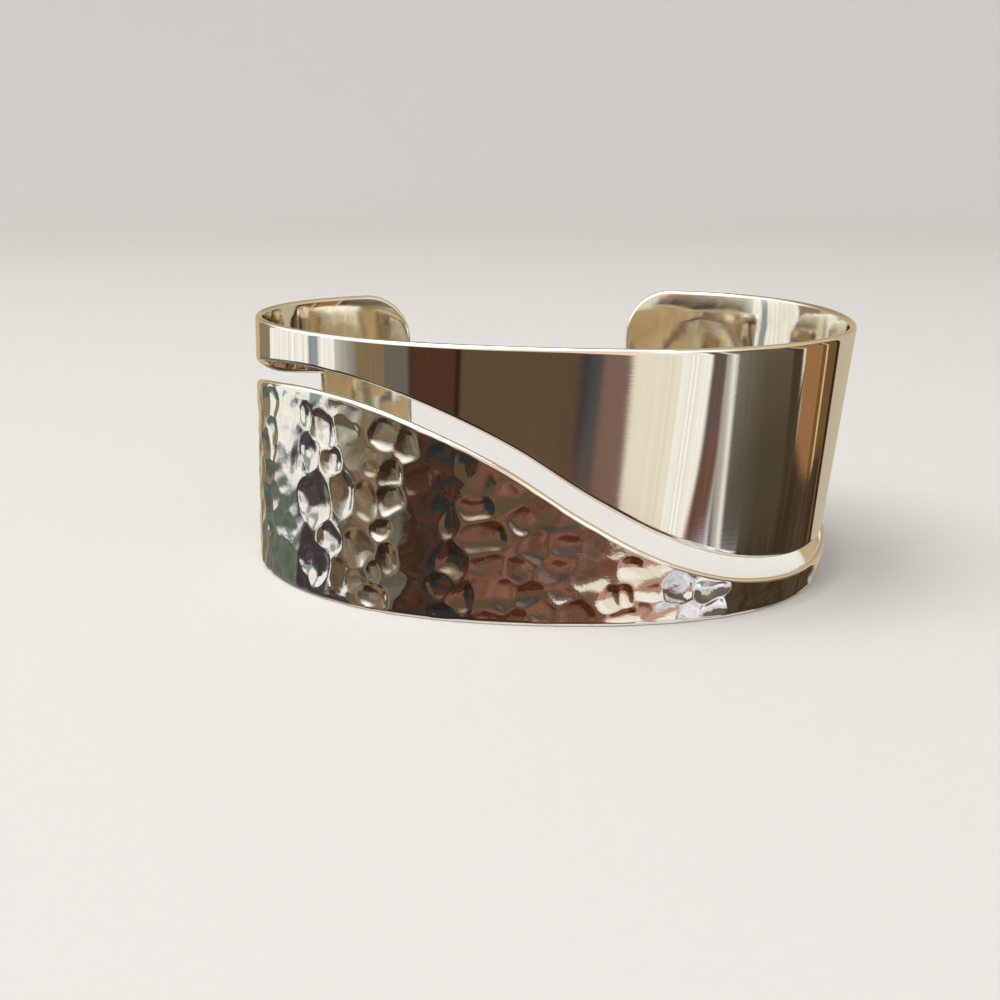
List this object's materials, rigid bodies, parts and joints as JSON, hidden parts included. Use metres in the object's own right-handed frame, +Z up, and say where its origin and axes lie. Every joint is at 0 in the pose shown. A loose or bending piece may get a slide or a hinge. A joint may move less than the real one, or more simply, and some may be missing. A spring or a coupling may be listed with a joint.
{
  "type": "cuff bracelet",
  "caption": "Oval cuff bracelet bent from one silver sheet, open at the back, with a long S-shaped slot between a polished upper panel and a hammered lower panel.",
  "frame": {"origin": "under the middle of the bounding box, on the plane that the lower rim stands on", "axes": "+Z up from the lower rim to the upper rim, +X along the long way of the oval, -Y towards the front, with the opening between the ends at +Y"},
  "size_m": [0.066, 0.0554, 0.0273],
  "materials": {
    "sterling_silver": "mirror polished above the slot and inside, hammered and polished below the slot"
  },
  "bodies": {
    "root": {"cuff": "sterling_silver"}
  },
  "joints": []
}
